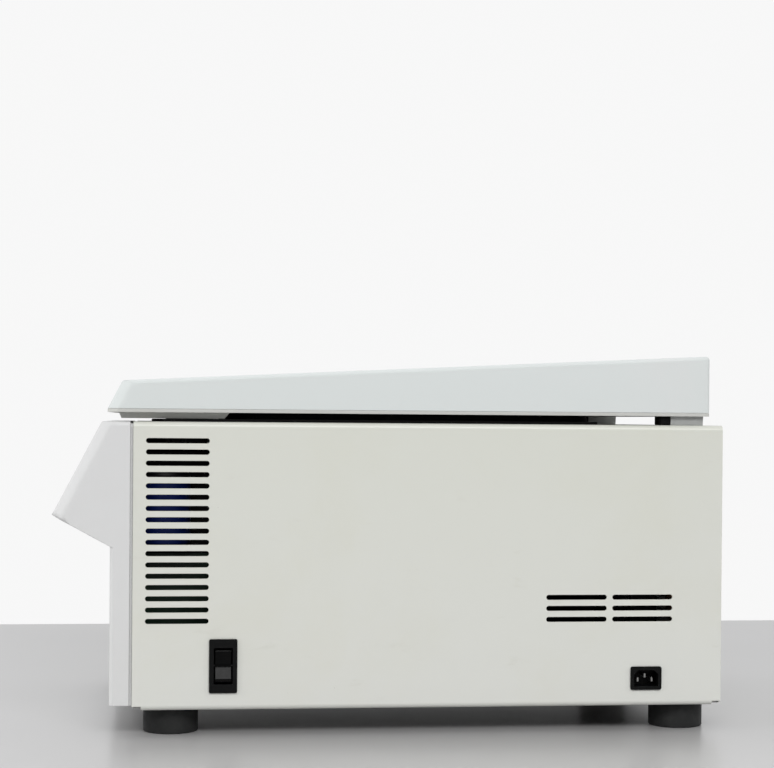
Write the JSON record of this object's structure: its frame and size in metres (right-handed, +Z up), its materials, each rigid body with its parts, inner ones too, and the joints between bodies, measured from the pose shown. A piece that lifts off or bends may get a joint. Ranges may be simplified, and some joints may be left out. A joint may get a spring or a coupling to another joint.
{
  "type": "microcentrifuge",
  "caption": "Long bench centrifuge with a wedge-shaped control nose, vented sheet-metal sides, a hinged full-length lid and a cooled rotor chamber.",
  "frame": {"origin": "middle of the footprint, on the table under the feet", "axes": "+X towards the side with the mains switch and inlet, -Y towards the control nose, +Z up"},
  "size_m": [0.3951, 0.6505, 0.3666],
  "materials": {
    "panel_paint": "fine-textured powder coat, warm light grey",
    "cover_plastic": "moulded, cool light grey",
    "liner_plastic": "moulded, warm grey",
    "black_plastic": "moulded, black",
    "gloss_black": "moulded, glossy black",
    "panel_film": "printed panel film, dark blue-grey",
    "key_plastic": "moulded, light grey",
    "key_green": "moulded, green",
    "key_red": "moulded, red",
    "display_glass": "smoked display cover",
    "sight_glass": "clear acrylic",
    "circuit_board": "green board",
    "foot_rubber": "dark grey rubber",
    "black_rubber": "black rubber",
    "stainless": "deep-drawn stainless steel",
    "zinc_steel": "zinc-plated sheet steel",
    "ground_steel": "turned and ground steel",
    "rotor_alloy": "dark anodised aluminium",
    "bare_alloy": "bare aluminium",
    "hinge_casting": "painted die casting",
    "copper": "copper tube",
    "foam": "rigid foam",
    "pump_paint": "black stove enamel",
    "can_sleeve": "blue shrink sleeve"
  },
  "bodies": {
    "housing": {"base_plate": "zinc_steel", "right_panel": "panel_paint", "left_panel": "panel_paint", "rear_panel": "panel_paint", "rear_top_cover": "panel_paint", "front_cover": "cover_plastic", "control_panel": "panel_film", "display_window": "display_glass", "control_board": "circuit_board", "switch_frame": "black_plastic", "inlet_socket": "black_plastic", "inlet_pins": "ground_steel", "top_deck": "black_plastic", "chamber_seal": "black_rubber", "rotor_bowl": "stainless", "evaporator_coil": "copper", "bowl_insulation": "foam", "chamber_shelf": "zinc_steel", "shaft_boot": "black_rubber", "motor_housing": "bare_alloy", "motor_bearings": "ground_steel", "motor_dampers": "black_rubber", "compressor": "pump_paint", "compressor_grommets": "black_rubber", "condenser": "bare_alloy", "fan_frame": "black_plastic", "refrigerant_lines": "copper", "filter_drier": "copper", "board_bracket": "zinc_steel", "drive_board": "circuit_board", "capacitor": "can_sleeve", "mains_filter": "zinc_steel", "hinge_brackets": "hinge_casting", "hinge_pins": "ground_steel", "lid_buffers": "black_rubber", "latch_frame": "zinc_steel", "feet": "foot_rubber", "foot_screws": "zinc_steel", "rear_screws": "zinc_steel"},
    "lid": {"lid_shell": "cover_plastic", "lid_liner": "liner_plastic", "lid_hooks": "ground_steel", "hinge_arms": "hinge_casting", "lid_window": "sight_glass"},
    "rotor": {"drive_shaft": "ground_steel", "rotor": "rotor_alloy", "rotor_lid": "bare_alloy", "rotor_knob": "rotor_alloy"},
    "rocker": {"power_rocker": "gloss_black"},
    "fan": {"fan_impeller": "black_plastic"},
    "latch": {"latch_bar": "ground_steel"},
    "key_time": {"key_time": "key_plastic"},
    "key_speed": {"key_speed": "key_plastic"},
    "key_temp": {"key_temp": "key_plastic"},
    "key_down": {"key_down": "key_plastic"},
    "key_up": {"key_up": "key_plastic"},
    "key_lid": {"key_lid": "key_plastic"},
    "key_start": {"key_start": "key_green"},
    "key_stop": {"key_stop": "key_red"}
  },
  "joints": [
    {"name": "lid_hinge", "type": "hinge", "parent": "housing", "child": "lid", "pos_m": [0, 0.2975, 0.3198], "axis": [-1, 0, 0], "range_deg": [0, 68]},
    {"name": "rotor_spin", "type": "hinge", "parent": "housing", "child": "rotor", "pos_m": [0, 0.0215, 0.2], "axis": [0, 0, 1], "continuous": true},
    {"name": "fan_spin", "type": "hinge", "parent": "housing", "child": "fan", "pos_m": [0.05, 0.2525, 0.1465], "axis": [0, 1, 0], "continuous": true},
    {"name": "rocker_tilt", "type": "hinge", "parent": "housing", "child": "rocker", "pos_m": [0.1925, -0.1625, 0.067], "axis": [0, 1, 0], "range_deg": [0, 20]},
    {"name": "latch_slide", "type": "slide", "parent": "housing", "child": "latch", "axis": [1, 0, 0], "range_m": [0, 0.008]},
    {"name": "key_time_press", "type": "slide", "parent": "housing", "child": "key_time", "axis": [0, 0.887, -0.4617], "range_m": [0, 0.001], "stiffness_N_per_m": 800, "springref_m": -0.0005},
    {"name": "key_speed_press", "type": "slide", "parent": "housing", "child": "key_speed", "axis": [0, 0.887, -0.4617], "range_m": [0, 0.001], "stiffness_N_per_m": 800, "springref_m": -0.0005},
    {"name": "key_temp_press", "type": "slide", "parent": "housing", "child": "key_temp", "axis": [0, 0.887, -0.4617], "range_m": [0, 0.001], "stiffness_N_per_m": 800, "springref_m": -0.0005},
    {"name": "key_down_press", "type": "slide", "parent": "housing", "child": "key_down", "axis": [0, 0.887, -0.4617], "range_m": [0, 0.001], "stiffness_N_per_m": 800, "springref_m": -0.0005},
    {"name": "key_up_press", "type": "slide", "parent": "housing", "child": "key_up", "axis": [0, 0.887, -0.4617], "range_m": [0, 0.001], "stiffness_N_per_m": 800, "springref_m": -0.0005},
    {"name": "key_lid_press", "type": "slide", "parent": "housing", "child": "key_lid", "axis": [0, 0.887, -0.4617], "range_m": [0, 0.001], "stiffness_N_per_m": 800, "springref_m": -0.0005},
    {"name": "key_start_press", "type": "slide", "parent": "housing", "child": "key_start", "axis": [0, 0.887, -0.4617], "range_m": [0, 0.001], "stiffness_N_per_m": 800, "springref_m": -0.0005},
    {"name": "key_stop_press", "type": "slide", "parent": "housing", "child": "key_stop", "axis": [0, 0.887, -0.4617], "range_m": [0, 0.001], "stiffness_N_per_m": 800, "springref_m": -0.0005}
  ]
}
